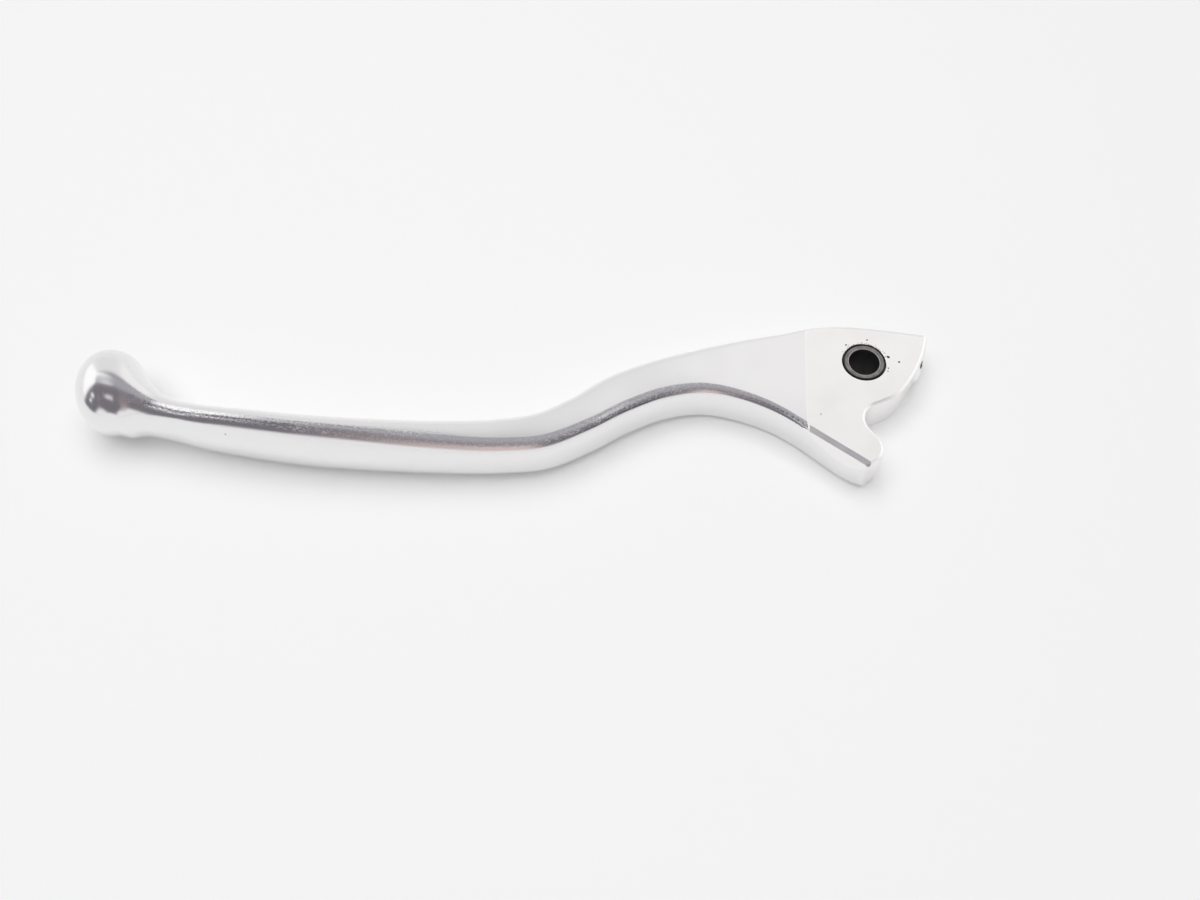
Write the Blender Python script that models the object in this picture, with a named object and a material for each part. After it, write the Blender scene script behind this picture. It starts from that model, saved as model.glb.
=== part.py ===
# Motorcycle clutch lever: a forged light-alloy lever with a milled root, and the dark bush it swings on.
# The origin is on the pivot axis at mid-thickness. +X runs from the ball towards the fin, +Z up the pivot.
# Sizes below are in millimetres, and every mesh is scaled to metres as it is made.
import math

import bmesh
import bpy
import numpy as np
from mathutils import Matrix, Vector

MM = 0.001

# Ball end
BALL_CENTRE = (-172.5, -5.2)
BALL_SIZE = (15.5, 20.0, 20.0)       # along, across and up
BALL_HEADING = 6.0
BALL_RINGS = 11                      # from the tip to the middle of the ball

# Forged sections from the ball to the end of the blank, where each row is
# centre x, centre y, heading in degrees, width, height, and squareness from 0 for an oval to 1 for flat sides
SECTIONS = [
    (-168.0, -6.3, 2.0, 18.8, 18.6, 0.00),
    (-164.0, -9.2, -4.5, 12.0, 16.5, 0.00),
    (-160.5, -11.3, -10.0, 8.7, 14.9, 0.00),
    (-156.5, -12.8, -14.0, 7.4, 14.6, 0.00),    # neck behind the ball
    (-150.5, -14.4, -12.5, 7.4, 15.7, 0.00),
    (-141.0, -16.0, -9.0, 8.0, 16.9, 0.00),
    (-128.0, -17.8, -6.5, 8.8, 17.2, 0.00),     # finger blade, tall and thin
    (-112.0, -19.1, -3.5, 9.4, 16.2, 0.05),
    (-97.0, -19.7, -0.5, 9.7, 14.6, 0.20),
    (-83.0, -19.5, 5.0, 10.0, 13.2, 0.40),      # start of the crank
    (-74.0, -18.3, 16.0, 10.5, 12.9, 0.50),
    (-65.0, -14.1, 28.5, 10.7, 12.5, 0.58),     # steepest part of the crank
    (-56.0, -8.4, 27.5, 11.4, 12.1, 0.64),
    (-46.5, -4.4, 17.0, 11.4, 12.0, 0.68),
    (-37.5, -2.4, 7.0, 12.6, 11.8, 0.78),       # shoulder
    (-28.0, -2.0, -1.0, 16.9, 11.4, 0.88),
    (-20.0, -2.6, -6.5, 21.8, 11.0, 0.95),
    (-12.5, -3.7, -11.0, 28.4, 10.6, 0.97),     # where the milled faces begin
    (-8.0, -5.0, -14.0, 32.2, 10.3, 0.94),
    (1.0, -8.4, -17.0, 37.6, 10.2, 0.92),
    (12.0, -10.8, -18.0, 38.9, 10.2, 0.91),     # end of the blank, milled away
]
FORGED_EDGE_RADIUS = 1.6      # where a section is fully square
RING_STEP = 3.0               # spacing of the rings along the centre line
QUARTER_POINTS = 9            # points round each quarter of a section

# Milled faces of the root
ROOT_THICKNESS = 10.0
MILL_LINE_POINT = (-13.5, -3.4)
MILL_LINE_ANGLE = math.radians(-3.7)
MILL_BLOCK = (80.0, 80.0, 10.0)

# End of the root seen from above: a fin, a boss round the pivot, a clearance notch and the push nub
FIN_TIP = (15.2, 6.3)
FIN_TIP_RADIUS = 1.4
FIN_TIP_START = math.radians(55.0)
FIN_END_SWEEP = math.radians(13.0)   # the fin's end stays as forged, with draft
FIN_DRAFT_BULGE = 0.9                # how far the parting line stands out there
FLANK_RADIUS = 34.0
BOSS_RADIUS = 11.0
NOTCH_CENTRE = (2.65, -15.2)
NOTCH_RADIUS = 4.0
NUB_CENTRE = (-2.2, -22.4)
NUB_RADIUS = 4.1
NUB_END = math.radians(-55.0)
CHAMFER_WIDTH = 0.45
CHAMFER_DEPTH = 0.65
ARC_STEP = math.radians(7.5)
RUN_OUT = 5.0                 # how far a cutter runs past the metal
CUTTER_REACH = 40.0           # how far the end cutter spreads outside the root

# Pivot
PIVOT_HOLE_DIAMETER = 10.0
HOLE_CHAMFER = 0.1
BUSH_DIAMETER = 9.5
BUSH_BORE = 6.9
BUSH_LENGTH = 10.1
BUSH_CHAMFER = 0.3
ROUND_SEGMENTS = 64
SMOOTH_ANGLE = math.radians(25.0)


def clear_scene():
    for item in list(bpy.data.objects):
        bpy.data.objects.remove(item, do_unlink=True)


def make_material(name, colour, roughness, metallic):
    material = bpy.data.materials.new(name)
    material.use_nodes = True
    shader = material.node_tree.nodes["Principled BSDF"]
    shader.inputs["Base Color"].default_value = (*colour, 1.0)
    shader.inputs["Roughness"].default_value = roughness
    shader.inputs["Metallic"].default_value = metallic
    return material


def add_object(name, builder):
    bmesh.ops.scale(builder, vec=(MM, MM, MM), verts=builder.verts)
    bmesh.ops.recalc_face_normals(builder, faces=builder.faces)
    mesh = bpy.data.meshes.new(name)
    builder.to_mesh(mesh)
    builder.free()
    mesh.shade_smooth()
    mesh.set_sharp_from_angle(angle=SMOOTH_ANGLE)
    item = bpy.data.objects.new(name, mesh)
    bpy.context.collection.objects.link(item)
    return item


def cut(body, cutter):
    cutter.hide_render = True
    cutter.display_type = "WIRE"
    modifier = body.modifiers.new(cutter.name, "BOOLEAN")
    modifier.operation = "DIFFERENCE"
    modifier.solver = "EXACT"
    modifier.object = cutter


def skin(builder, rings):
    # Quads from each ring of vertices to the next
    for ring, next_ring in zip(rings, rings[1:]):
        for index in range(len(ring)):
            following = (index + 1) % len(ring)
            builder.faces.new((ring[index], ring[following], next_ring[following], next_ring[index]))


def section_outline(width, height, squareness):
    # A rectangle with quarter-ellipse corners, which meet in an oval or shrink to the forged edge radius
    corner_across = width / 2 + (FORGED_EDGE_RADIUS - width / 2) * squareness
    corner_up = height / 2 + (FORGED_EDGE_RADIUS - height / 2) * squareness
    points = []
    for step in range(4 * QUARTER_POINTS):
        angle = (step + 0.5) / QUARTER_POINTS * math.pi / 2
        across = math.copysign(width / 2 - corner_across, math.cos(angle)) + corner_across * math.cos(angle)
        up = math.copysign(height / 2 - corner_up, math.sin(angle)) + corner_up * math.sin(angle)
        points.append((across, up))
    return points


def add_section(builder, row):
    heading = math.radians(row[2])
    middle = Vector((row[0], row[1], 0.0))
    side = Vector((-math.sin(heading), math.cos(heading), 0.0))
    return [builder.verts.new(middle + side * across + Vector((0.0, 0.0, up)))
            for across, up in section_outline(*row[3:])]


def smooth_rows(rows):
    # A cubic through the rows, by the distance along the centre line, from the second row to the last
    distance = np.append(0.0, np.cumsum(np.linalg.norm(np.diff(rows[:, :2], axis=0), axis=1)))
    slope = np.gradient(rows, distance, axis=0)
    samples = []
    for index in range(1, len(rows) - 1):
        span = distance[index + 1] - distance[index]
        for u in np.arange(0.0, 0.999, 1.0 / math.ceil(span / RING_STEP)):
            samples.append((2 * u**3 - 3 * u**2 + 1) * rows[index]
                           + (u**3 - 2 * u**2 + u) * span * slope[index]
                           + (3 * u**2 - 2 * u**3) * rows[index + 1]
                           + (u**3 - u**2) * span * slope[index + 1])
    return np.array(samples + [rows[-1]])


def ball_row(along):
    # The ball's section at a distance from its middle, positive towards the neck
    half_length = BALL_SIZE[0] / 2
    heading = math.radians(BALL_HEADING)
    size = math.sqrt(1.0 - (along / half_length) ** 2)
    return (BALL_CENTRE[0] + along * math.cos(heading), BALL_CENTRE[1] + along * math.sin(heading),
            BALL_HEADING, BALL_SIZE[1] * size, BALL_SIZE[2] * size, 0.0)


def forged_blank():
    half_length = BALL_SIZE[0] / 2
    ball_rows = [ball_row(-half_length * math.cos(math.pi / 2 * index / BALL_RINGS))
                 for index in range(BALL_RINGS)]
    rows = smooth_rows(np.array([ball_row(-half_length / 2), ball_row(0.0), *SECTIONS]))
    builder = bmesh.new()
    rings = [add_section(builder, row) for row in [*ball_rows[1:], *rows]]
    skin(builder, rings)
    tip = builder.verts.new((*ball_rows[0][:2], 0.0))
    for index, vertex in enumerate(rings[0]):
        builder.faces.new((tip, rings[0][index - 1], vertex))
    builder.faces.new(rings[-1])
    return add_object("lever", builder)


def mill_cutter(name, side):
    # A block over one face of the root. Its edge is on the mill line and leans outwards, which leaves a sloped step
    length, width, height = MILL_BLOCK
    near = side * ROOT_THICKNESS / 2
    far = near + side * height
    along = Matrix.Rotation(MILL_LINE_ANGLE, 4, "Z")
    builder = bmesh.new()
    ends = []
    for across in (-width / 2, width / 2):
        outline = [(0.0, near), (length, near), (length, far), (-height, far)]
        ends.append([builder.verts.new(along @ Vector((forward, across, level)) + Vector((*MILL_LINE_POINT, 0.0)))
                     for forward, level in outline])
    skin(builder, ends)
    builder.faces.new(ends[0])
    builder.faces.new(ends[1])
    return add_object(name, builder)


def direction(angle):
    return Vector((math.cos(angle), math.sin(angle)))


def arc(centre, radius, start, end, bulge=0.0):
    # Points of an arc with the direction out of the metal: a hollow arc has a negative radius
    steps = max(2, math.ceil(abs(end - start) / ARC_STEP))
    angles = [start + (end - start) * step / steps for step in range(steps + 1)]
    return [(Vector(centre) + direction(angle) * radius, direction(angle), bulge) for angle in angles]


def end_profile():
    # From the fin tip round the boss and the notch to the nub, as arcs and the straight lines tangent to them
    tip = Vector(FIN_TIP)
    notch = Vector(NOTCH_CENTRE)
    nub = Vector(NUB_CENTRE)
    reach = FLANK_RADIUS - BOSS_RADIUS
    opening = math.acos((FLANK_RADIUS**2 - tip.length_squared - reach**2) / (2 * reach * tip.length))
    boss_start = math.atan2(tip.y, tip.x) - opening
    flank = direction(boss_start) * -reach
    flank_start = math.atan2(tip.y - flank.y, tip.x - flank.x)
    fin_end = flank_start - FIN_END_SWEEP
    tip_centre = tip - direction(flank_start) * FIN_TIP_RADIUS
    boss_end = math.atan2(notch.y, notch.x) + math.acos((BOSS_RADIUS + NOTCH_RADIUS) / notch.length)
    across = notch - nub
    nub_start = math.atan2(across.y, across.x) - math.acos((NOTCH_RADIUS + NUB_RADIUS) / across.length)

    profile = arc(tip_centre, FIN_TIP_RADIUS, FIN_TIP_START, flank_start, FIN_DRAFT_BULGE)
    profile += arc(flank, FLANK_RADIUS, flank_start, fin_end, FIN_DRAFT_BULGE)[1:]
    profile += arc(flank, FLANK_RADIUS, fin_end, boss_start)[1:]
    profile += arc((0.0, 0.0), BOSS_RADIUS, boss_start, boss_end)[1:]
    profile += arc(notch, -NOTCH_RADIUS, boss_end, nub_start)
    profile += arc(nub, NUB_RADIUS, nub_start, NUB_END)
    return profile


def run_out(end, inner):
    # The profile's end point moved on in a straight line, clear of the metal
    point, outward, bulge = end
    along = Vector((-outward.y, outward.x))
    if along.dot(point - inner[0]) < 0:
        along.negate()
    return (point + along * RUN_OUT, outward, bulge)


def end_cutter():
    # Layers of the profile from bottom to top: flared at both faces for the chamfers, bulged at the parting line
    profile = end_profile()
    profile = [run_out(profile[0], profile[1]), *profile, run_out(profile[-1], profile[-2])]
    half = ROOT_THICKNESS / 2
    layers = [(-half - CHAMFER_DEPTH, -2 * CHAMFER_WIDTH, 0), (-half + CHAMFER_DEPTH, 0.0, 0), (0.0, 0.0, 1),
              (half - CHAMFER_DEPTH, 0.0, 0), (half + CHAMFER_DEPTH, -2 * CHAMFER_WIDTH, 0)]
    first = profile[0][0]
    last = profile[-1][0]
    outside = [Vector((last.x, -CUTTER_REACH)), Vector((CUTTER_REACH, -CUTTER_REACH)),
               Vector((CUTTER_REACH, CUTTER_REACH)), Vector((first.x, CUTTER_REACH))]
    builder = bmesh.new()
    rings = []
    for height, flare, draft in layers:
        outline = [point + outward * (flare + bulge * draft) for point, outward, bulge in profile] + outside
        rings.append([builder.verts.new((point.x, point.y, height)) for point in outline])
    skin(builder, rings)
    builder.faces.new(rings[0])
    builder.faces.new(rings[-1])
    return add_object("end_mill", builder)


def pivot_cutter():
    half = ROOT_THICKNESS / 2
    radius = PIVOT_HOLE_DIAMETER / 2
    layers = [(-half - HOLE_CHAMFER, 2 * HOLE_CHAMFER), (-half + HOLE_CHAMFER, 0.0),
              (half - HOLE_CHAMFER, 0.0), (half + HOLE_CHAMFER, 2 * HOLE_CHAMFER)]
    builder = bmesh.new()
    rings = []
    for height, flare in layers:
        circle = bmesh.ops.create_circle(builder, segments=ROUND_SEGMENTS, radius=radius + flare,
                                         matrix=Matrix.Translation((0.0, 0.0, height)))
        rings.append(circle["verts"])
    skin(builder, rings)
    builder.faces.new(rings[0])
    builder.faces.new(rings[-1])
    return add_object("pivot_drill", builder)


def make_bush():
    # A turned sleeve: half its section, with a chamfer at each corner, spun round the pivot axis
    inner = BUSH_BORE / 2
    outer = BUSH_DIAMETER / 2
    top = BUSH_LENGTH / 2
    edge = BUSH_CHAMFER
    half_section = [(inner + edge, top), (outer - edge, top), (outer, top - edge)]
    half_section += [(radius, -height) for radius, height in reversed(half_section)]
    half_section += [(inner, edge - top), (inner, top - edge)]
    builder = bmesh.new()
    corners = [builder.verts.new((radius, 0.0, height)) for radius, height in half_section]
    edges = [builder.edges.new((corners[index - 1], corner)) for index, corner in enumerate(corners)]
    bmesh.ops.spin(builder, geom=corners + edges, axis=(0, 0, 1), cent=(0, 0, 0), angle=math.tau,
                   steps=ROUND_SEGMENTS, use_merge=True)
    return add_object("pivot_bush", builder)


def main():
    clear_scene()
    alloy = make_material("polished_alloy", (0.80, 0.80, 0.82), 0.25, 1.0)
    sintered = make_material("dark_bush", (0.045, 0.045, 0.05), 0.5, 0.6)
    lever = forged_blank()
    lever.data.materials.append(alloy)
    cut(lever, mill_cutter("mill_top", 1))
    cut(lever, mill_cutter("mill_bottom", -1))
    cut(lever, end_cutter())
    cut(lever, pivot_cutter())
    bush = make_bush()
    bush.data.materials.append(sintered)


main()
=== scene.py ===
# Looks of the clutch lever: the forging with its milled root, the bush, the grit round it and the studio.
# Lengths are written in millimetres and turned into metres where they are used.
import math

import bmesh
import bpy
import numpy as np
from mathutils import Matrix, Vector


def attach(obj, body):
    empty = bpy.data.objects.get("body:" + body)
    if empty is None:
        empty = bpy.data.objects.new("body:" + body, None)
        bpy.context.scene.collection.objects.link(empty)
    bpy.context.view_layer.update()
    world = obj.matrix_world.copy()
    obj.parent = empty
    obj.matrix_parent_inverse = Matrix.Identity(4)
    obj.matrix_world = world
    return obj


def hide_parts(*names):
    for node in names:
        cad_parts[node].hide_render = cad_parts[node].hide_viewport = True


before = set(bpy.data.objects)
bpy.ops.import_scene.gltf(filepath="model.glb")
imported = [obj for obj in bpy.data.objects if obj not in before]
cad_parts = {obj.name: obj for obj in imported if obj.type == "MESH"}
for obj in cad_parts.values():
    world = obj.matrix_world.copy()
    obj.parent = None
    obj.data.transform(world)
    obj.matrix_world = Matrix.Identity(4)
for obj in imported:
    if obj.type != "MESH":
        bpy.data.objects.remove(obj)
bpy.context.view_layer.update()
mm = 0.001


def metres(lengths):
    return [length * mm for length in lengths]


# Node helpers: a value may be a plain number or another node's socket
def feed(tree, socket, value):
    if isinstance(value, bpy.types.NodeSocket):
        tree.links.new(value, socket)
    else:
        socket.default_value = value


def addNode(tree, kind, values=None, **settings):
    made = tree.nodes.new(kind)
    for name, value in settings.items():
        setattr(made, name, value)
    for socket, value in (values or {}).items():
        feed(tree, made.inputs[socket], value)
    return made


def calc(tree, operation, *terms):
    return addNode(tree, "ShaderNodeMath", dict(enumerate(terms)), operation=operation).outputs[0]


def product(tree, result, *factors):
    for factor in factors:
        result = calc(tree, "MULTIPLY", result, factor)
    return result


def vectorNode(tree, operation, values):
    return addNode(tree, "ShaderNodeVectorMath", values, operation=operation)


def splitVector(tree, vector):
    return addNode(tree, "ShaderNodeSeparateXYZ", {0: vector}).outputs


def ramp(tree, value, low, high, start=0.0, end=1.0):
    values = {"Value": value, "From Min": low, "From Max": high, "To Min": start, "To Max": end}
    return addNode(tree, "ShaderNodeMapRange", values, interpolation_type="SMOOTHSTEP").outputs["Result"]


def within(tree, value, low, high, soft):
    rising = ramp(tree, value, low - soft, low + soft)
    falling = ramp(tree, value, high + soft, high - soft)
    return product(tree, rising, falling)


def mixColour(tree, share, *colours):
    opaque = [colour if isinstance(colour, bpy.types.NodeSocket) else (*colour, 1.0) for colour in colours]
    values = {0: share, 6: opaque[0], 7: opaque[1]}   # sockets 6 and 7 take colours
    return addNode(tree, "ShaderNodeMix", values, data_type="RGBA").outputs[2]


def newGroup(name, kind, inputs, outputs):
    tree = bpy.data.node_groups.new(name, kind)
    for inOut, sockets in (("INPUT", inputs), ("OUTPUT", outputs)):
        for label, valueKind, *default in sockets:
            made = tree.interface.new_socket(label, in_out=inOut, socket_type="NodeSocket" + valueKind)
            if default:
                made.default_value = default[0]
    return tree, tree.nodes.new("NodeGroupInput"), tree.nodes.new("NodeGroupOutput")


def endTree(tree, given, result, geometry):
    # every geometry tree ends in real faces that have their material
    real = addNode(tree, "GeometryNodeRealizeInstances", {"Geometry": geometry}).outputs[0]
    coated = addNode(tree, "GeometryNodeSetMaterial",
                     {"Geometry": real, "Material": given.outputs["Material"]})
    feed(tree, result.inputs["Geometry"], coated.outputs[0])
    return tree


# Mesh helpers
def newObject(name, data):
    made = bpy.data.objects.new(name, data)
    bpy.context.scene.collection.objects.link(made)
    return made


def fromBuilder(name, builder, *materials):
    bmesh.ops.scale(builder, vec=(mm, mm, mm), verts=builder.verts)
    bmesh.ops.recalc_face_normals(builder, faces=builder.faces)
    mesh = bpy.data.meshes.new(name)
    builder.to_mesh(mesh)
    builder.free()
    for material in materials:
        mesh.materials.append(material)
    return newObject(name, mesh)


def skin(builder, outlines):
    rings = [[builder.verts.new(point) for point in outline] for outline in outlines]
    for ring, nextRing in zip(rings, rings[1:]):
        for index in range(len(ring)):
            following = (index + 1) % len(ring)
            builder.faces.new((ring[index], ring[following], nextRing[following], nextRing[index]))
    return rings


def closedSkin(outlines):
    builder = bmesh.new()
    rings = skin(builder, outlines)
    builder.faces.new(rings[0])
    builder.faces.new(rings[-1])
    return builder


def direction(angle):
    return Vector((math.cos(angle), math.sin(angle)))


def circlePoints(radius, height, segments):
    return [(*(direction(math.tau * step / segments) * radius), height) for step in range(segments)]


def addField(mesh, name, values):
    # a number or a vector for each vertex
    values = np.array(values, dtype=np.float32)
    kind, key = ("FLOAT", "value") if values.ndim == 1 else ("FLOAT_VECTOR", "vector")
    mesh.attributes.new(name, kind, "POINT").data.foreach_set(key, values.ravel())


def runTree(item, tree, values):
    modifier = item.modifiers.new(tree.name, "NODES")
    modifier.node_group = tree
    for socket in tree.interface.items_tree:
        if socket.item_type == "SOCKET" and socket.in_out == "INPUT" and socket.name in values:
            modifier[socket.identifier] = values[socket.name]


def plainMesh(item, sharpAngle=None):
    # what the modifiers make becomes the object's own mesh
    bpy.context.view_layer.update()
    graph = bpy.context.evaluated_depsgraph_get()
    shown = item.evaluated_get(graph)
    mesh = bpy.data.meshes.new_from_object(shown, preserve_all_data_layers=True, depsgraph=graph)
    item.modifiers.clear()
    mesh.name = item.name
    item.data = mesh
    builder = bmesh.new()
    builder.from_mesh(mesh)
    bmesh.ops.recalc_face_normals(builder, faces=builder.faces)
    builder.to_mesh(mesh)
    builder.free()
    mesh.shade_smooth()
    if sharpAngle:
        mesh.set_sharp_from_angle(angle=math.radians(sharpAngle))


# Finishes that several metals share
cloudLook = {"detail": 5.0, "roughness": 0.6, "range": (0.35, 0.7)}


def hazeGroup():
    # soft clouded patches, as wiping and handling leave on bare metal
    tree, given, result = newGroup("handlingHaze", "ShaderNodeTree",
                                   [("Vector", "Vector"), ("Scale", "Float"), ("Amount", "Float"),
                                    ("Base", "Float")],
                                   [("Roughness", "Float"), ("Mask", "Float")])
    cloud = addNode(tree, "ShaderNodeTexNoise",
                    {"Vector": given.outputs["Vector"], "Scale": given.outputs["Scale"],
                     "Detail": cloudLook["detail"], "Roughness": cloudLook["roughness"]})
    mask = ramp(tree, cloud.outputs[0], *cloudLook["range"])
    rough = calc(tree, "MULTIPLY_ADD", mask, given.outputs["Amount"], given.outputs["Base"])
    feed(tree, result.inputs["Roughness"], rough)
    feed(tree, result.inputs["Mask"], mask)
    return tree


lineLook = {"fineScale": 1.0, "fineDetail": 3.0, "broadScale": 0.23, "broadDetail": 2.0, "broadTop": 0.8}


def streakGroup():
    # hairlines drawn out along one direction of the given coordinates
    tree, given, result = newGroup("hairlines", "ShaderNodeTree",
                                   [("Vector", "Vector"), ("Stretch", "Vector"), ("Density", "Float", 0.5)],
                                   [("Height", "Float"), ("Mask", "Float")])
    drawn = vectorNode(tree, "MULTIPLY",
                       {0: given.outputs["Vector"], 1: given.outputs["Stretch"]}).outputs[0]
    fine = addNode(tree, "ShaderNodeTexNoise", {"Vector": drawn, "Scale": lineLook["fineScale"],
                                                "Detail": lineLook["fineDetail"]})
    broad = addNode(tree, "ShaderNodeTexNoise", {"Vector": drawn, "Scale": lineLook["broadScale"],
                                                 "Detail": lineLook["broadDetail"]})
    mask = ramp(tree, broad.outputs[0], given.outputs["Density"], lineLook["broadTop"])
    feed(tree, result.inputs["Height"], fine.outputs[0])
    feed(tree, result.inputs["Mask"], mask)
    return tree


haze = hazeGroup()
streaks = streakGroup()


def newMaterial(name, colour, roughness, metallic):
    material = bpy.data.materials.new(name)
    material.use_nodes = True
    shader = material.node_tree.nodes["Principled BSDF"]
    shader.inputs["Base Color"].default_value = (*colour, 1.0)
    shader.inputs["Roughness"].default_value = roughness
    shader.inputs["Metallic"].default_value = metallic
    return material, material.node_tree, shader


def useGroup(tree, group, values):
    return addNode(tree, "ShaderNodeGroup", values, node_tree=group)


def objectPoint(tree):
    return addNode(tree, "ShaderNodeTexCoord").outputs["Object"]


def attribute(tree, name):
    return addNode(tree, "ShaderNodeAttribute", attribute_name=name).outputs


def clouded(tree, look):
    return useGroup(tree, haze, {"Vector": objectPoint(tree), "Scale": look["hazeScale"],
                                 "Amount": look["haze"], "Base": look["roughness"]}).outputs


def bumped(tree, look, height):
    return addNode(tree, "ShaderNodeBump", {"Strength": look["bump"], "Distance": look["depth"] * mm,
                                            "Height": height})


# Polished forging. Patterns are stretched by so many to the metre along, across and up the sweep.
polish = {
    "colour": (0.865, 0.86, 0.865), "smeared": (0.80, 0.795, 0.805), "smear": 0.12, "smearDensity": 0.45,
    "roughness": 0.10, "haze": 0.10, "hazeScale": 55.0,
    "bump": 0.3, "depth": 0.02, "stretch": (150.0, 6000.0, 6000.0),
    "pitRough": 0.3, "pitRange": (0.45, 0.65),
    # where the edges are dressed: roundness, tilt, offset from the middle, and distance from the ball's tip
    "cornerRange": (0.08, 0.6), "uprightRange": (0.64, 0.78), "gripSide": (2.0, -1.0),
    "ballEnd": (10.0, 26.0), "ballGrain": 0.1, "flatGrain": 0.1,
}
dressing = {"bump": 1.0, "depth": 0.025, "stretch": (1500.0, 4000.0, 4000.0)}


def polishedAlloy():
    material, tree, shader = newMaterial("polishedAlloy", polish["colour"], polish["roughness"], 1.0)
    sweep = attribute(tree, "sweep")["Vector"]
    lines = useGroup(tree, streaks, {"Vector": sweep, "Stretch": polish["stretch"],
                                     "Density": polish["smearDensity"]})
    peel = useGroup(tree, streaks, {"Vector": sweep, "Stretch": dressing["stretch"]}).outputs["Height"]
    corner = attribute(tree, "rounded")["Fac"]
    along = splitVector(tree, sweep)["X"]
    sideways = splitVector(tree, sweep)["Y"]
    facing = addNode(tree, "ShaderNodeTexCoord").outputs["Normal"]
    upright = calc(tree, "ABSOLUTE", splitVector(tree, facing)["Z"])
    # the rounded edges on the grip side were dressed by hand, the ball hardly at all
    dressed = product(tree, ramp(tree, corner, *polish["cornerRange"]),
                      ramp(tree, sideways, *metres(polish["gripSide"])),
                      ramp(tree, upright, *polish["uprightRange"]),
                      ramp(tree, along, *metres(polish["ballEnd"]), polish["ballGrain"]))
    worked = calc(tree, "MULTIPLY_ADD", dressed, 1.0 - polish["flatGrain"], polish["flatGrain"])
    grain = bumped(tree, dressing, product(tree, peel, worked))
    bump = bumped(tree, polish, lines.outputs["Height"])
    feed(tree, bump.inputs["Normal"], grain.outputs[0])
    smear = product(tree, lines.outputs["Mask"], polish["smear"])
    pits = product(tree, ramp(tree, peel, *polish["pitRange"]), dressed)
    rough = calc(tree, "MULTIPLY_ADD", pits, polish["pitRough"], clouded(tree, polish)["Roughness"])
    feed(tree, shader.inputs["Base Color"], mixColour(tree, smear, polish["colour"], polish["smeared"]))
    feed(tree, shader.inputs["Roughness"], rough)
    feed(tree, shader.inputs["Normal"], bump.outputs[0])
    return material


mill = {"colour": (0.925, 0.915, 0.91), "roughness": 0.17, "haze": 0.08, "hazeScale": 80.0, "bump": 0.10,
        "depth": 0.01, "stretch": (1500.0, 60.0, 400.0)}
edgeMetal = {"colour": (0.97, 0.965, 0.96), "roughness": 0.33, "haze": 0.07, "hazeScale": 300.0,
             "bump": 0.15, "depth": 0.01, "stretch": (2500.0, 900.0, 2500.0)}


def toolMarked(name, look):
    # bare alloy with the fine marks of the tool that cut it
    material, tree, shader = newMaterial(name, look["colour"], look["roughness"], 1.0)
    marks = useGroup(tree, streaks, {"Vector": objectPoint(tree), "Stretch": look["stretch"]})
    feed(tree, shader.inputs["Roughness"], clouded(tree, look)["Roughness"])
    feed(tree, shader.inputs["Normal"], bumped(tree, look, marks.outputs["Height"]).outputs[0])
    return material


# Dark bush: turned rings, a painted highlight on the inner rim, painted shade on the outer rim and painted
# black shade in the bore
sinter = {
    "colour": (0.17, 0.16, 0.16), "worn": (0.33, 0.31, 0.31), "metallic": 0.8,
    "roughness": 0.34, "haze": 0.12, "hazeScale": 400.0,
    "ringDensity": 9000.0, "bump": 0.15, "depth": 0.02,
    # painted light on the bush: a highlight on the inner rim, shade on the outer rim and black shade in the
    # bore
    "paintedRimHighlight": (0.50, 0.48, 0.50), "paintedRimHighlightRadius": (3.56, 3.68, 0.05),
    "paintedRimShade": (0.05, 0.045, 0.05), "paintedRimShadeRadius": (4.38, 4.52),
    "paintedBoreShade": (0.012, 0.010, 0.010), "paintedBoreShadeRadius": (3.58, 3.48), "paintedBoreShadeRoughness": 0.6,
}


def darkBush():
    material, tree, shader = newMaterial("darkBush", sinter["colour"], sinter["roughness"],
                                         sinter["metallic"])
    cloud = clouded(tree, sinter)
    flat = vectorNode(tree, "MULTIPLY", {0: objectPoint(tree), 1: (1.0, 1.0, 0.0)}).outputs[0]
    radius = vectorNode(tree, "LENGTH", {0: flat}).outputs["Value"]
    turned = calc(tree, "SINE", product(tree, radius, sinter["ringDensity"]))
    # painted highlight: a lighter ring on the rounded inner rim
    paintedRimHighlight = within(tree, radius, *metres(sinter["paintedRimHighlightRadius"]))
    # painted shade: a dark ring on the outer rim, where the bush sits in the hole
    paintedRimShade = ramp(tree, radius, *metres(sinter["paintedRimShadeRadius"]))
    # painted shade: the bore is made near black, rough and not metallic
    inBore = ramp(tree, radius, *metres(sinter["paintedBoreShadeRadius"]))
    colour = mixColour(tree, cloud["Mask"], sinter["colour"], sinter["worn"])
    colour = mixColour(tree, paintedRimHighlight, colour, sinter["paintedRimHighlight"])
    colour = mixColour(tree, paintedRimShade, colour, sinter["paintedRimShade"])
    metallic = calc(tree, "MULTIPLY_ADD", inBore, -sinter["metallic"], sinter["metallic"])
    rough = calc(tree, "MAXIMUM", cloud["Roughness"], product(tree, inBore, sinter["paintedBoreShadeRoughness"]))
    feed(tree, shader.inputs["Base Color"], mixColour(tree, inBore, colour, sinter["paintedBoreShade"]))
    feed(tree, shader.inputs["Metallic"], metallic)
    feed(tree, shader.inputs["Roughness"], rough)
    feed(tree, shader.inputs["Normal"], bumped(tree, sinter, turned).outputs[0])
    return material


polished = polishedAlloy()
milled = toolMarked("milledAlloy", mill)
bare = toolMarked("cutEdge", edgeMetal)
bushMetal = darkBush()
print("finishes made")


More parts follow.
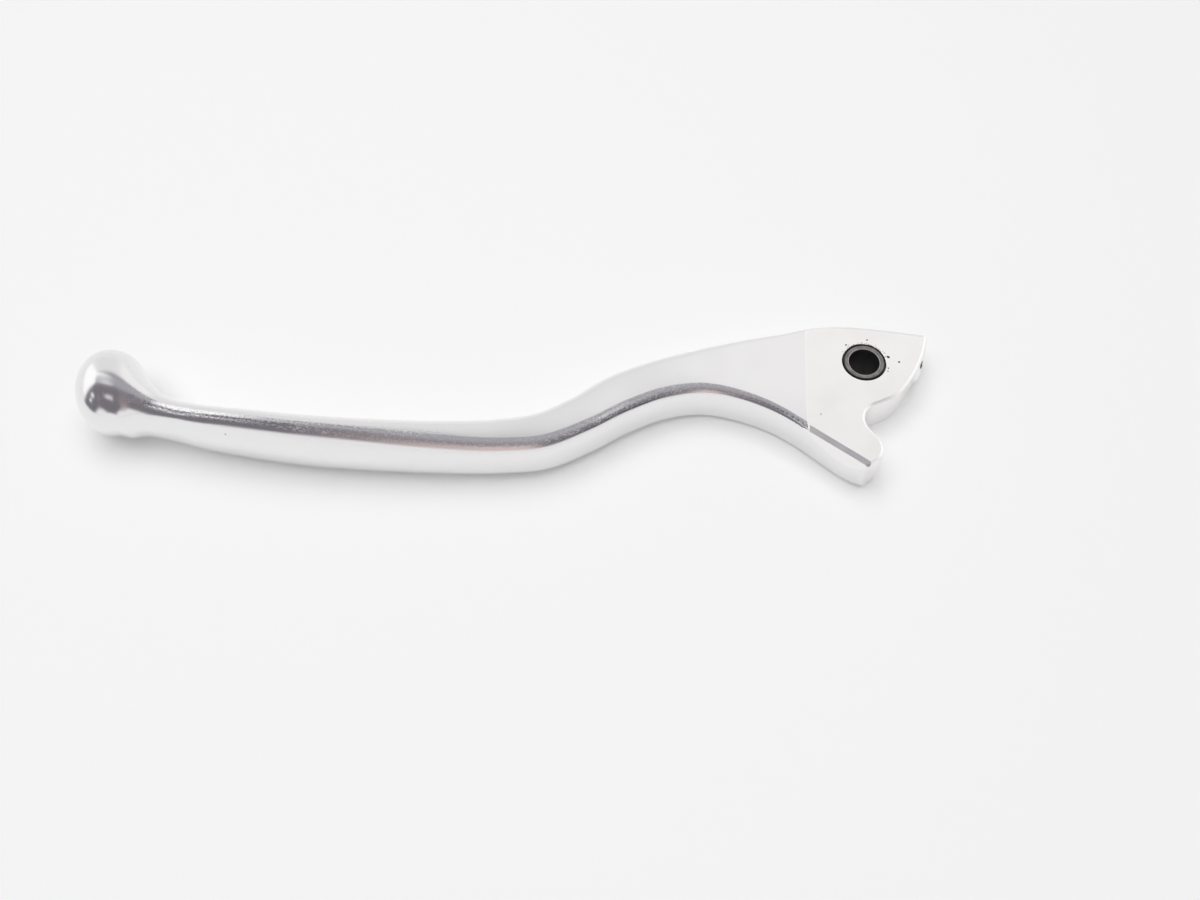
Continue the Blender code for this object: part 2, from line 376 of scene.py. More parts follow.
# The forging: sections swept along the lever, from the ball to the end of the root
forging = {
    "ballCentre": (-172.5, -5.2), "ballSize": (15.5, 20.0, 20.0), "ballHeading": 6.0, "ballRings": 44,
    "edgeRadius": 1.6, "step": 0.7, "pointsRound": 112, "mergeDistance": 0.001, "sharpAngle": 10.0,
    "ovalFade": 3.0,   # a section counts as oval until its squareness reaches one part in this
    # centre x, centre y, heading in degrees, width, height, squareness
    "sections": [
        (-168.0, -6.3, 2.0, 18.8, 19.3, 0.00),
        (-164.0, -9.2, -4.5, 12.0, 17.0, 0.00),
        (-160.5, -11.3, -10.0, 8.7, 14.9, 0.00),
        (-156.5, -12.8, -14.0, 7.4, 14.6, 0.00),
        (-150.5, -14.4, -12.5, 7.4, 15.7, 0.00),
        (-141.0, -16.0, -9.0, 8.0, 16.9, 0.00),
        (-128.0, -17.8, -6.5, 8.8, 17.2, 0.00),
        (-112.0, -19.1, -3.5, 9.4, 16.2, 0.05),
        (-97.0, -19.7, -0.5, 9.7, 14.6, 0.20),
        (-83.0, -19.5, 5.0, 10.0, 13.2, 0.40),
        (-74.0, -18.3, 16.0, 10.5, 12.9, 0.50),
        (-65.0, -14.1, 28.5, 10.7, 12.5, 0.58),
        (-56.0, -8.4, 27.5, 11.4, 12.1, 0.64),
        (-46.5, -4.4, 17.0, 11.4, 12.0, 0.68),
        (-37.5, -2.4, 7.0, 12.6, 11.8, 0.78),
        (-28.0, -2.0, -1.0, 16.9, 11.4, 0.88),
        (-20.0, -2.6, -6.5, 21.8, 11.0, 0.95),
        (-12.5, -3.7, -11.0, 28.4, 10.6, 0.97),
        (-8.0, -5.0, -14.0, 32.2, 10.3, 0.96),
        (1.0, -8.4, -17.0, 37.6, 10.2, 0.97),
        (12.0, -10.8, -18.0, 38.9, 10.2, 0.97),
    ],
}


def distanceAlong(rows):
    return np.append(0.0, np.cumsum(np.linalg.norm(np.diff(rows[:, :2], axis=0), axis=1)))


def smoothRows(rows, step, startSlope):
    # a cubic through the rows by distance along them, from the second row on, where its slope is given
    distance = distanceAlong(rows)
    slope = np.gradient(rows, distance, axis=0)
    slope[1] = startSlope
    samples = []
    for index in range(1, len(rows) - 1):
        span = distance[index + 1] - distance[index]
        count = math.ceil(span / step)
        for u in np.arange(count) / count:
            leaving = (2 * u**3 - 3 * u**2 + 1) * rows[index] + (u**3 - 2 * u**2 + u) * span * slope[index]
            arriving = (3 * u**2 - 2 * u**3) * rows[index + 1] + (u**3 - u**2) * span * slope[index + 1]
            samples.append(leaving + arriving)
    return samples + [rows[-1]]


def ballRow(along):
    heading = math.radians(forging["ballHeading"])
    length, width, height = forging["ballSize"]
    size = math.sqrt(max(0.0, 1.0 - (2 * along / length) ** 2))
    x, y = forging["ballCentre"]
    return (x + along * math.cos(heading), y + along * math.sin(heading), forging["ballHeading"],
            width * size, height * size, 0.0)


def stationMesh():
    # one vertex for each section, which carries the section's sizes
    half = forging["ballSize"][0] / 2
    count = forging["ballRings"]
    rows = [ballRow(-half * math.cos(math.pi / 2 * index / count)) for index in range(count)]
    # at its widest the ball goes straight on and neither swells nor turns
    ballSlope = (*direction(math.radians(forging["ballHeading"])), 0.0, 0.0, 0.0, 0.0)
    sections = np.array([ballRow(-half / 2), ballRow(0.0), *forging["sections"]])
    rows += smoothRows(sections, forging["step"], ballSlope)
    endCap = rows[-1].copy()
    endCap[3:] = 0.0
    rows = np.array([*rows, endCap])
    mesh = bpy.data.meshes.new("leverStations")
    mesh.from_pydata([(x * mm, y * mm, 0.0) for x, y in rows[:, :2]], [], [])
    addField(mesh, "heading", np.radians(rows[:, 2]))
    addField(mesh, "width", rows[:, 3] * mm)
    addField(mesh, "height", rows[:, 4] * mm)
    addField(mesh, "squareness", rows[:, 5])
    addField(mesh, "along", distanceAlong(rows) * mm)
    return mesh


def sweepTree():
    tree, given, result = newGroup("forgedSweep", "GeometryNodeTree",
                                   [("Geometry", "Geometry"), ("Points Round", "Int"),
                                    ("Edge Radius", "Float"), ("Material", "Material")],
                                   [("Geometry", "Geometry")])
    stations = given.outputs["Geometry"]
    pointsRound = given.outputs["Points Round"]
    domain = addNode(tree, "GeometryNodeAttributeDomainSize", {0: stations}, component="MESH")
    count = domain.outputs["Point Count"]
    grid = addNode(tree, "GeometryNodeMeshGrid",
                   {"Size X": 1.0, "Size Y": 1.0, "Vertices Y": count,
                    "Vertices X": calc(tree, "ADD", pointsRound, 1.0)}).outputs["Mesh"]
    place = splitVector(tree, addNode(tree, "GeometryNodeInputPosition").outputs[0])
    last = calc(tree, "SUBTRACT", count, 1.0)
    ring = calc(tree, "ROUND", product(tree, calc(tree, "ADD", place["Y"], 0.5), last))
    halfStep = calc(tree, "DIVIDE", math.pi, pointsRound)   # no point falls where a flat ends
    turn = calc(tree, "MULTIPLY_ADD", calc(tree, "ADD", place["X"], 0.5), math.tau, halfStep)

    def sample(field, kind):
        made = addNode(tree, "GeometryNodeSampleIndex", data_type=kind, domain="POINT")
        feed(tree, made.inputs["Geometry"], stations)
        feed(tree, made.inputs["Value"], field)
        feed(tree, made.inputs["Index"], ring)
        return made.outputs[0]

    def size(name):
        field = addNode(tree, "GeometryNodeInputNamedAttribute", {"Name": name}, data_type="FLOAT")
        return sample(field.outputs[0], "FLOAT")

    square = size("squareness")

    def reach(extent, wave):
        # half the extent, as a flat that ends in a quarter ellipse
        half = product(tree, extent, 0.5)
        sharpened = calc(tree, "SUBTRACT", given.outputs["Edge Radius"], half)
        corner = calc(tree, "MULTIPLY_ADD", sharpened, square, half)
        flat = product(tree, calc(tree, "SIGN", wave), calc(tree, "SUBTRACT", half, corner))
        return calc(tree, "MULTIPLY_ADD", corner, wave, flat)

    def store(geometry, name, kind, value):
        values = {"Geometry": geometry, "Name": name, "Value": value}
        made = addNode(tree, "GeometryNodeStoreNamedAttribute", values, data_type=kind, domain="CORNER")
        return made.outputs[0]

    sideways = reach(size("width"), calc(tree, "COSINE", turn))
    height = reach(size("height"), calc(tree, "SINE", turn))
    heading = size("heading")
    offset = addNode(tree, "ShaderNodeCombineXYZ",
                     {"X": product(tree, calc(tree, "SINE", heading), product(tree, sideways, -1.0)),
                      "Y": product(tree, calc(tree, "COSINE", heading), sideways), "Z": height})
    centre = sample(addNode(tree, "GeometryNodeInputPosition").outputs[0], "FLOAT_VECTOR")
    target = vectorNode(tree, "ADD", {0: centre, 1: offset.outputs[0]}).outputs[0]
    sweep = addNode(tree, "ShaderNodeCombineXYZ", {"X": size("along"), "Y": sideways, "Z": height})
    # square sections are rounded at their corners, and oval ones all over
    corners = calc(tree, "ABSOLUTE", calc(tree, "SINE", product(tree, turn, 2.0)))
    rounded = calc(tree, "MAXIMUM", corners, calc(tree, "MULTIPLY_ADD", square, -forging["ovalFade"], 1.0))
    marked = store(grid, "sweep", "FLOAT_VECTOR", sweep.outputs[0])
    marked = store(marked, "rounded", "FLOAT", rounded)
    moved = addNode(tree, "GeometryNodeSetPosition", {"Geometry": marked, "Position": target}).outputs[0]
    closed = addNode(tree, "GeometryNodeMergeByDistance", {"Geometry": moved,
                                                           "Distance": forging["mergeDistance"] * mm})
    return endTree(tree, given, result, closed.outputs[0])


# The milled root: two flat faces and an end profile of tangent arcs
root = {
    "thickness": 10.0, "millPoint": (-13.5, -3.4), "millAngle": -3.7, "millSlope": 0.55,
    "millBlock": (80.0, 80.0, 10.0),
    "finTip": (15.2, 6.3), "finTipRadius": 1.4, "finTipStart": 55.0, "finEndSweep": 13.0, "finBulge": 0.9,
    "flankRadius": 34.0, "bossRadius": 11.0, "notchCentre": (2.65, -15.2), "notchRadius": 4.0,
    "nubCentre": (-2.2, -22.4), "nubRadius": 4.1, "nubEnd": -55.0, "runOut": 5.0, "arcStep": 2.5,
    "chamferWidth": 0.2, "chamferDepth": 0.5, "bevelWidth": 0.45, "bevelDepth": 0.23, "bevelOvershoot": 1.5,
    "cutterReach": 40.0, "holeDiameter": 10.0, "holeChamfer": 0.1, "holeSegments": 160,
    # flats on the near edge: a point on each, its heading, its tilt from level and the cutter's size
    "filePoint": (-14.0, -17.55, 4.70), "fileHeading": -36.8, "fileTilt": 25.0,
    "fileBlock": (30.0, 6.0, 3.0), "fileRamp": 1.7,
    "leanPoint": (-15.3, -17.3, 4.35), "leanHeading": -36.7, "leanTilt": 70.0,
    "leanBlock": (27.0, 8.0, 3.0),
}


def tilted(heading, tilt):
    return Matrix.Rotation(math.radians(heading), 4, "Z") @ Matrix.Rotation(math.radians(tilt), 4, "X")


def millBlock(name, side):
    # the cutter's corner leaves a sloped step on the mill line
    length, width, height = root["millBlock"]
    near = side * root["thickness"] / 2
    far = near + side * height
    place = Matrix.Translation((*root["millPoint"], 0.0)) @ tilted(root["millAngle"], 0.0)
    outline = [(0.0, near), (length, near), (length, far), (-height * root["millSlope"], far)]
    ends = [[place @ Vector((forward, across, level)) for forward, level in outline]
            for across in (-width / 2, width / 2)]
    return fromBuilder(name, closedSkin(ends), milled)


def edgeFile(name, side):
    # a narrow flat along the near edge of the milled face, with a ramp where it starts on the mill line
    length, width, height = root["fileBlock"]
    forward, across, up = tilted(root["fileHeading"], root["fileTilt"]).to_3x3().col
    millNormal = Vector((*direction(math.radians(root["millAngle"])), 0.0))
    ends = []
    for offset in (-width / 2, width / 2):
        start = Vector(root["filePoint"]) + across * offset
        start -= forward * (offset * across.dot(millNormal) / forward.dot(millNormal))
        far = start + forward * length
        rampTop = start + up * height - millNormal * height * root["fileRamp"]
        points = [start, far, far + up * height, rampTop]
        ends.append([(point.x, point.y, point.z * side) for point in points])
    return fromBuilder(name, closedSkin(ends), bare)


def wallLean(name):
    # below the upper filed edge the near wall leans in a little
    size = Vector(root["leanBlock"])
    place = Matrix.Translation(root["leanPoint"]) @ tilted(root["leanHeading"], root["leanTilt"])
    place = place @ Matrix.Translation((size.x / 2, 0.0, size.z / 2)) @ Matrix.Diagonal((*size, 1.0))
    builder = bmesh.new()
    bmesh.ops.create_cube(builder, size=1.0, matrix=place)
    return fromBuilder(name, builder, milled)


def arc(centre, radius, start, end, bulge=0.0):
    # points with the direction out of the metal: a hollow arc has a negative radius
    steps = max(2, math.ceil(abs(end - start) / math.radians(root["arcStep"])))
    angles = [start + (end - start) * step / steps for step in range(steps + 1)]
    return [(Vector(centre) + direction(angle) * radius, direction(angle), bulge) for angle in angles]


def endProfile():
    tip = Vector(root["finTip"])
    notch = Vector(root["notchCentre"])
    nub = Vector(root["nubCentre"])
    bulge = root["finBulge"]
    flankRadius = root["flankRadius"]
    reach = flankRadius - root["bossRadius"]
    opening = math.acos((flankRadius**2 - tip.length_squared - reach**2) / (2 * reach * tip.length))
    bossStart = math.atan2(tip.y, tip.x) - opening
    flank = direction(bossStart) * -reach
    flankStart = math.atan2(tip.y - flank.y, tip.x - flank.x)
    finEnd = flankStart - math.radians(root["finEndSweep"])
    tipStart = math.radians(root["finTipStart"])
    tipCentre = tip - direction(flankStart) * root["finTipRadius"]
    bossEnd = math.atan2(notch.y, notch.x)
    bossEnd += math.acos((root["bossRadius"] + root["notchRadius"]) / notch.length)
    between = notch - nub
    nubStart = math.atan2(between.y, between.x)
    nubStart -= math.acos((root["notchRadius"] + root["nubRadius"]) / between.length)
    profile = arc(tipCentre, root["finTipRadius"], tipStart, flankStart, bulge)
    profile += arc(flank, flankRadius, flankStart, finEnd, bulge)[1:]
    profile += arc(flank, flankRadius, finEnd, bossStart)[1:]
    profile += arc((0.0, 0.0), root["bossRadius"], bossStart, bossEnd)[1:]
    profile += arc(notch, -root["notchRadius"], bossEnd, nubStart)
    profile += arc(nub, root["nubRadius"], nubStart, math.radians(root["nubEnd"]))
    return profile


def runOut(end, inner):
    point, outward, bulge = end
    along = Vector((-outward.y, outward.x))
    if along.dot(point - inner[0]) < 0:
        along.negate()
    return (point + along * root["runOut"], outward, bulge)


def endCutter():
    profile = endProfile()
    profile = [runOut(profile[0], profile[1]), *profile, runOut(profile[-1], profile[-2])]
    half = root["thickness"] / 2
    edge = root["chamferWidth"]
    bevel = root["bevelDepth"]
    inner = edge + root["bevelOvershoot"] * root["bevelWidth"]
    # height, flare and share of the fin's bulge
    upper = [(half - root["chamferDepth"], 0.0, 0.0), (half - bevel, -edge, 0.0),
             (half + bevel / 2, -inner, 0.0)]
    lower = [(-height, flare, share) for height, flare, share in reversed(upper)]
    reach = root["cutterReach"]
    first = profile[0][0]
    last = profile[-1][0]
    corners = [(last.x, -reach), (reach, -reach), (reach, reach), (first.x, reach)]
    outside = [Vector(corner) for corner in corners]
    outlines = []
    for height, flare, share in (*lower, (0.0, 0.0, 1.0), *upper):
        outline = [point + outward * (flare + bulge * share) for point, outward, bulge in profile] + outside
        outlines.append([(*point, height) for point in outline])
    builder = closedSkin(outlines)
    for face in builder.faces:
        face.material_index = int(abs(face.calc_center_median().z) > half - bevel)
    return fromBuilder("endMill", builder, milled, bare)


def pivotDrill():
    half = root["thickness"] / 2
    radius = root["holeDiameter"] / 2
    edge = root["holeChamfer"]
    layers = [(-half - edge, 2 * edge), (-half + edge, 0.0), (half - edge, 0.0), (half + edge, 2 * edge)]
    outlines = [circlePoints(radius + flare, height, root["holeSegments"]) for height, flare in layers]
    return fromBuilder("pivotDrill", closedSkin(outlines), milled)


def makeLever():
    lever = newObject("leverForging", stationMesh())
    runTree(lever, sweepTree(), {"Points Round": forging["pointsRound"], "Material": polished,
                                 "Edge Radius": forging["edgeRadius"] * mm})
    plainMesh(lever)
    cutters = [millBlock("millTop", 1), millBlock("millBottom", -1), edgeFile("fileTop", 1),
               edgeFile("fileBottom", -1), wallLean("wallLean"), endCutter(), pivotDrill()]
    for cutter in cutters:
        modifier = lever.modifiers.new(cutter.name, "BOOLEAN")
        modifier.operation = "DIFFERENCE"
        modifier.solver = "EXACT"
        modifier.material_mode = "TRANSFER"
        modifier.object = cutter
    plainMesh(lever, forging["sharpAngle"])
    for cutter in cutters:
        bpy.data.objects.remove(cutter, do_unlink=True)
    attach(lever, "lever")
    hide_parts("lever")
    return lever


lever = makeLever()
print("forging:", len(lever.data.polygons), "faces")


# The bush: a rounded wall section carried round the pivot
bush = {"outside": 9.5, "bore": 6.9, "length": 10.1, "edge": 0.3, "segments": 160, "edgeSteps": 5,
        "sharpAngle": 30.0}


def bushTree():
    tree, given, result = newGroup("turnedSleeve", "GeometryNodeTree",
                                   [("Geometry", "Geometry"), ("Outside", "Float"), ("Bore", "Float"),
                                    ("Length", "Float"), ("Edge", "Float"), ("Segments", "Int"),
                                    ("Material", "Material")],
                                   [("Geometry", "Geometry")])
    outside = given.outputs["Outside"]
    bore = given.outputs["Bore"]
    wall = product(tree, calc(tree, "SUBTRACT", outside, bore), 0.5)
    middle = product(tree, calc(tree, "ADD", outside, bore), 0.25)
    section = addNode(tree, "GeometryNodeCurvePrimitiveQuadrilateral",
                      {"Width": wall, "Height": given.outputs["Length"]})
    rounded = addNode(tree, "GeometryNodeFilletCurve",
                      {"Curve": section.outputs[0], "Radius": given.outputs["Edge"],
                       "Count": bush["edgeSteps"]}, mode="POLY")
    path = addNode(tree, "GeometryNodeCurvePrimitiveCircle",
                   {"Resolution": given.outputs["Segments"], "Radius": middle}, mode="RADIUS")
    swept = addNode(tree, "GeometryNodeCurveToMesh",
                    {"Curve": path.outputs[0], "Profile Curve": rounded.outputs[0]})
    return endTree(tree, given, result, swept.outputs[0])


def makeBush():
    sleeve = newObject("bushSleeve", bpy.data.meshes.new("bushSleeve"))
    sizes = {name.capitalize(): bush[name] * mm for name in ("outside", "bore", "length", "edge")}
    runTree(sleeve, bushTree(), {**sizes, "Segments": bush["segments"], "Material": bushMetal})
    plainMesh(sleeve, bush["sharpAngle"])
    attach(sleeve, "bush")
    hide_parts("pivot_bush")
    return sleeve


sleeve = makeBush()
print("bush:", len(sleeve.data.polygons), "faces", [round(side / mm, 2) for side in sleeve.dimensions])


# Grit: crumbs of dark grease on the milled face, a dab of painted shade on the fin's end and two nicks on
# the blade
grit = {
    # x, y, length and width
    "onFace": [
        (-3.7, 4.75, 0.5, 0.3),
        (1.3, 6.15, 0.45, 0.3),
        (5.6, 1.4, 0.8, 0.5),
        (7.95, 0.0, 0.5, 0.4),
        (5.3, -1.7, 0.35, 0.3),
        (5.1, -2.5, 0.3, 0.25),
        (-11.2, -14.0, 0.4, 0.2),
    ],
    # place, the way the surface faces, length and width
    "elsewhere": [
        # the first is painted shade: a dark dab in the grease colour where the fin's drafted end steps in
        ((13.6, 0.85, 2.6), (0.9, -0.4, 0.2), 2.4, 1.7),
        ((-143.3, -18.95, 4.6), (-0.18, -0.95, 0.26), 0.5, 0.3),
        ((-142.7, -19.1, 4.4), (-0.18, -0.95, 0.26), 0.55, 0.3),
    ],
    "rimRadius": 5.25, "rimStart": 15.0, "rimEnd": 150.0, "rimCount": 30, "rimSize": 0.17, "spread": 0.3,
    "flatness": 0.35, "dentScale": 2.6, "dentDetail": 2.0, "dentDepth": 0.9, "spin": 0.6,
    "fineness": 3, "seed": 7,
}
# the grease colour serves the grease crumbs and the painted shade of the dab on the fin's end
grease = {"colour": (0.04, 0.032, 0.028), "dusty": (0.13, 0.10, 0.085), "roughness": 0.4, "haze": 0.3,
          "hazeScale": 2500.0}


def greaseAndShadeBlack():
    material, tree, shader = newMaterial("greaseAndShadeBlack", grease["colour"], grease["roughness"], 0.0)
    cloud = clouded(tree, grease)
    colour = mixColour(tree, cloud["Mask"], grease["colour"], grease["dusty"])
    feed(tree, shader.inputs["Base Color"], colour)
    feed(tree, shader.inputs["Roughness"], cloud["Roughness"])
    return material


def crumbMesh():
    # one vertex for each crumb, with the way it faces, its size and whether it is shaken about
    top = root["thickness"] / 2
    upward = (0.0, 0.0, 1.0)
    crumbs = [((x, y, top), upward, length, width, 0.0) for x, y, length, width in grit["onFace"]]
    crumbs += [(*crumb, 0.0) for crumb in grit["elsewhere"]]
    for angle in np.radians(np.linspace(grit["rimStart"], grit["rimEnd"], grit["rimCount"])):
        place = (*(direction(angle) * grit["rimRadius"]), top)
        crumbs.append((place, upward, grit["rimSize"], grit["rimSize"], 1.0))
    places, facings, lengths, widths, shaken = zip(*crumbs)
    mesh = bpy.data.meshes.new("crumbPlaces")
    mesh.from_pydata([metres(place) for place in places], [], [])
    sizes = [metres((length, width, width * grit["flatness"])) for length, width in zip(lengths, widths)]
    addField(mesh, "facing", facings)
    addField(mesh, "size", sizes)
    addField(mesh, "shaken", shaken)
    return mesh


def crumbTree():
    tree, given, result = newGroup("greaseCrumbsAndShadeDab", "GeometryNodeTree",
                                   [("Geometry", "Geometry"), ("Spread", "Float"), ("Seed", "Int"),
                                    ("Material", "Material")],
                                   [("Geometry", "Geometry")])

    def field(name, kind):
        return addNode(tree, "GeometryNodeInputNamedAttribute", {"Name": name}, data_type=kind).outputs[0]

    def chance(kind, limits):
        # sockets 0 and 1 take a vector's limits, 2 and 3 a number's
        return addNode(tree, "FunctionNodeRandomValue", {**limits, "Seed": given.outputs["Seed"]},
                       data_type=kind).outputs

    spread = product(tree, given.outputs["Spread"], field("shaken", "FLOAT"))
    shake = chance("FLOAT_VECTOR", {0: (-1.0, -1.0, 0.0), 1: (1.0, 1.0, 0.0)})[0]
    offset = vectorNode(tree, "SCALE", {0: shake, "Scale": spread}).outputs[0]
    places = addNode(tree, "GeometryNodeSetPosition",
                     {"Geometry": given.outputs["Geometry"], "Offset": offset})
    # a dented ball of unit size, which each crumb's size then stretches
    ball = addNode(tree, "GeometryNodeMeshIcoSphere",
                   {"Radius": 0.5, "Subdivisions": grit["fineness"]}).outputs[0]
    dents = addNode(tree, "ShaderNodeTexNoise", {"Scale": grit["dentScale"], "Detail": grit["dentDetail"]})
    swell = calc(tree, "MULTIPLY_ADD", dents.outputs[0], grit["dentDepth"], -grit["dentDepth"] / 2)
    outward = addNode(tree, "GeometryNodeInputNormal").outputs[0]
    dented = vectorNode(tree, "SCALE", {0: outward, "Scale": swell}).outputs[0]
    lump = addNode(tree, "GeometryNodeSetPosition", {"Geometry": ball, "Offset": dented}).outputs[0]
    facing = addNode(tree, "FunctionNodeAlignRotationToVector", {"Vector": field("facing", "FLOAT_VECTOR")},
                     axis="Z")
    spin = chance("FLOAT", {2: -grit["spin"], 3: grit["spin"]})[1]
    about = addNode(tree, "FunctionNodeAxisAngleToRotation", {"Axis": (0.0, 0.0, 1.0), "Angle": spin})
    turned = addNode(tree, "FunctionNodeRotateRotation", {0: facing.outputs[0], 1: about.outputs[0]},
                     rotation_space="LOCAL")
    crumbs = addNode(tree, "GeometryNodeInstanceOnPoints",
                     {"Points": places.outputs[0], "Instance": lump, "Rotation": turned.outputs[0],
                      "Scale": field("size", "FLOAT_VECTOR")})
    return endTree(tree, given, result, crumbs.outputs[0])


def makeGrit():
    crumbs = newObject("greaseCrumbsAndShadeDab", crumbMesh())
    runTree(crumbs, crumbTree(), {"Spread": grit["spread"] * mm, "Seed": grit["seed"],
                                  "Material": greaseAndShadeBlack()})
    plainMesh(crumbs)
    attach(crumbs, "lever")
    return crumbs


crumbs = makeGrit()
print("grit:", len(crumbs.data.polygons), "faces")


# The floor: a pale sheet that falls away very slightly from the pivot, so the lever lies on it at any angle
floor = {"level": -5.06, "flatRadius": 16.0, "fall": 0.0312, "rings": (60.0, 120.0, 240.0, 600.0),
         "radius": 2500.0, "segments": 96, "colour": (0.86, 0.86, 0.86), "roughness": 0.7,
         "glow": (0.11, 0.11, 0.11), "farGlow": (0.48, 0.48, 0.48), "farRange": (300.0, 2000.0)}


def floorPaint():
    material, tree, shader = newMaterial("paleFloor", floor["colour"], floor["roughness"], 0.0)
    shader.inputs["Specular IOR Level"].default_value = 0.0
    shader.inputs["Emission Strength"].default_value = 1.0
    # the lamp fades far out, where the sheet glows more to stay pale
    distance = vectorNode(tree, "LENGTH", {0: objectPoint(tree)}).outputs["Value"]
    far = ramp(tree, distance, *metres(floor["farRange"]))
    feed(tree, shader.inputs["Emission Color"], mixColour(tree, far, floor["glow"], floor["farGlow"]))
    return material


def makeFloor():
    outlines = []
    for radius in (floor["flatRadius"], *floor["rings"], floor["radius"]):
        height = floor["level"] - floor["fall"] * (radius - floor["flatRadius"])
        outlines.append(circlePoints(radius, height, floor["segments"]))
    builder = bmesh.new()
    rings = skin(builder, outlines)
    builder.faces.new(rings[0])
    sheet = fromBuilder("floorSheet", builder, floorPaint())
    if sheet.data.polygons[-1].normal.z < 0:
        sheet.data.flip_normals()


makeFloor()
print("floor laid")

# Studio: pale walls behind and to the sides, a dim ceiling over to the front and a window on the left.
# Azimuths and elevations are in degrees, with the width of a soft edge last.
studio = {
    "zenith": (0.41, 0.40, 0.43), "front": (0.19, 0.18, 0.205), "frontRange": (32.0, 82.0),
    "patch": (0.68, 0.555, 0.54), "patchAzimuth": (158.0, 176.0), "patchElevation": (10.0, 44.0, 12.0),
    "wall": (0.83, 0.83, 0.83), "wallAzimuth": (-105.0, 114.0, 6.0), "wallTop": (70.0, 58.0),
    "wallFall": 6.0, "wallFallAzimuth": (-5.0, -25.0),
    "leftWall": (0.93, 0.93, 0.93), "leftTurn": (-25.0, -55.0),
    "rightWall": (0.97, 0.96, 0.955), "rightTurn": (-8.0, 14.0),
    "apron": (0.90, 0.88, 0.88), "apronRise": 13.0, "apronFront": 18.0,
    "apronFrontAzimuth": (-168.0, -140.0, 8.0), "apronDrop": -6.0, "apronDropStart": (-168.0, -132.0),
    "apronDropEnd": (-85.0, -100.0), "apronSoft": 7.0,
    "glintScale": 15.0, "glintRange": (0.20, 0.10),
    "dome": (0.30, 0.30, 0.30), "backdrop": (0.82, 0.82, 0.82),
    # colour, azimuths and elevations
    "areas": {
        "corner": ((0.19, 0.18, 0.20), (-152.0, -106.0, 6.0), (-10.0, 72.0, 8.0)),
        "blush": ((0.29, 0.235, 0.24), (-166.0, -153.0, 3.0), (36.0, 62.0, 5.0)),
        "window": ((1.15, 1.15, 1.16), (-104.0, -45.0, 5.0), (8.0, 66.0, 6.0)),
        "spot": ((1.3, 1.3, 1.3), (-136.0, -122.0, 3.0), (33.0, 41.0, 3.0)),
        "glints": ((1.3, 1.3, 1.3), (-136.0, -106.0, 2.0), (4.0, 50.0, 3.0)),
        "sill": ((1.25, 1.25, 1.25), (-130.0, -123.0, 2.0), (18.0, 26.0, 3.0)),
        "skirting": ((0.07, 0.06, 0.085), (105.0, 152.0, 8.0), (12.0, 24.0, 4.0)),
        "strip": ((1.15, 1.15, 1.15), (36.0, 98.0, 6.0), (5.0, 36.0, 5.0)),
    },
}


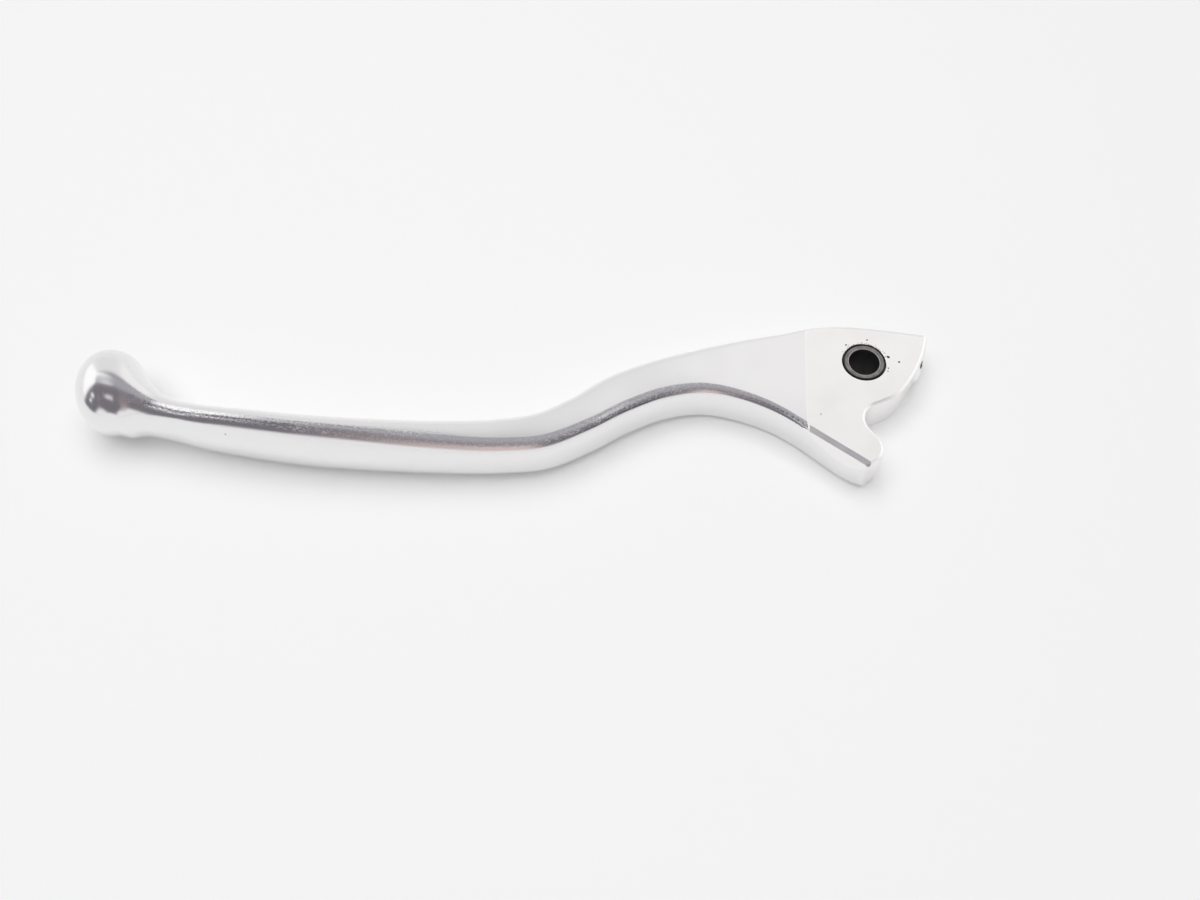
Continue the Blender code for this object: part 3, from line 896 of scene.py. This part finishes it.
def makeWorld():
    world = bpy.data.worlds.new("studio")
    bpy.context.scene.world = world
    world.use_nodes = True
    tree = world.node_tree
    x, y, z = splitVector(tree, addNode(tree, "ShaderNodeTexCoord").outputs["Generated"])
    azimuth = calc(tree, "DEGREES", calc(tree, "ARCTAN2", x, y))
    elevation = calc(tree, "DEGREES", calc(tree, "ARCSINE", z))

    def turn(name):
        return ramp(tree, azimuth, *studio[name])

    def paint(room, name, *masks):
        colour, azimuths, elevations = studio["areas"][name]
        share = product(tree, within(tree, azimuth, *azimuths), within(tree, elevation, *elevations), *masks)
        return mixColour(tree, share, room, colour)

    room = mixColour(tree, ramp(tree, elevation, *studio["frontRange"]), studio["front"], studio["zenith"])
    patch = product(tree, ramp(tree, calc(tree, "ABSOLUTE", azimuth), *studio["patchAzimuth"]),
                    within(tree, elevation, *studio["patchElevation"]))
    room = mixColour(tree, patch, room, studio["patch"])
    room = paint(room, "corner")
    room = paint(room, "blush")
    wall = mixColour(tree, turn("rightTurn"), studio["wall"], studio["rightWall"])
    wall = mixColour(tree, turn("leftTurn"), wall, studio["leftWall"])
    wallHeight = calc(tree, "MULTIPLY_ADD", turn("wallFallAzimuth"), studio["wallFall"], elevation)
    onWall = product(tree, within(tree, azimuth, *studio["wallAzimuth"]),
                     ramp(tree, wallHeight, *studio["wallTop"]))
    room = mixColour(tree, onWall, room, wall)
    room = paint(room, "window")
    room = paint(room, "spot")
    cells = addNode(tree, "ShaderNodeTexVoronoi", {"Scale": studio["glintScale"]}).outputs["Distance"]
    room = paint(room, "glints", ramp(tree, cells, *studio["glintRange"]))
    room = paint(room, "sill")
    room = paint(room, "skirting")
    # the pale table seems to rise to the front, and stops short on the left
    dropped = product(tree, turn("apronDropStart"), turn("apronDropEnd"))
    front = within(tree, azimuth, *studio["apronFrontAzimuth"])
    low = studio["apronRise"]
    rise = calc(tree, "MULTIPLY_ADD", front, studio["apronFront"] - low, low)
    edge = calc(tree, "MULTIPLY_ADD", dropped, calc(tree, "SUBTRACT", studio["apronDrop"], rise), rise)
    soft = studio["apronSoft"]
    onApron = ramp(tree, calc(tree, "SUBTRACT", elevation, edge), soft, -soft)
    room = mixColour(tree, onApron, room, studio["apron"])
    room = paint(room, "strip")
    # only polished metal sees the room: the rest is lit by a plain dome, in front of a plain backdrop
    path = addNode(tree, "ShaderNodeLightPath").outputs
    room = mixColour(tree, path["Is Glossy Ray"], studio["dome"], room)
    room = mixColour(tree, path["Is Camera Ray"], room, studio["backdrop"])
    feed(tree, tree.nodes["Background"].inputs["Color"], room)


makeWorld()

lamp = {"place": (-200.0, 80.0, 1500.0), "aim": (-90.0, 0.0, 0.0), "size": 1600.0, "power": 19.6}


def makeLamp():
    light = bpy.data.lights.new("overhead", "AREA")
    light.shape = "SQUARE"
    light.size = lamp["size"] * mm
    light.energy = lamp["power"]
    item = newObject("overheadLamp", light)
    item.location = metres(lamp["place"])
    item.rotation_euler = (Vector(lamp["aim"]) - Vector(lamp["place"])).to_track_quat("-Z", "Y").to_euler()
    item.visible_glossy = False


makeLamp()
print("studio made")

# The camera stands where the photograph was taken from
view = {"place": (-60.45, -153.94, 230.43), "downward": 59.9, "focalPixels": 1190.0, "imageWidth": 1200.0,
        "sensor": 36.0, "clip": (10.0, 20000.0)}


def makeCamera():
    camera = bpy.data.cameras.new("camera")
    camera.sensor_width = view["sensor"]
    camera.lens = view["sensor"] * view["focalPixels"] / view["imageWidth"]
    camera.clip_start, camera.clip_end = metres(view["clip"])
    item = newObject("camera", camera)
    item.location = metres(view["place"])
    item.rotation_euler = (math.radians(90.0 - view["downward"]), 0.0, 0.0)
    bpy.context.scene.camera = item


makeCamera()
bpy.context.scene.view_settings.view_transform = "Standard"
print("camera set")
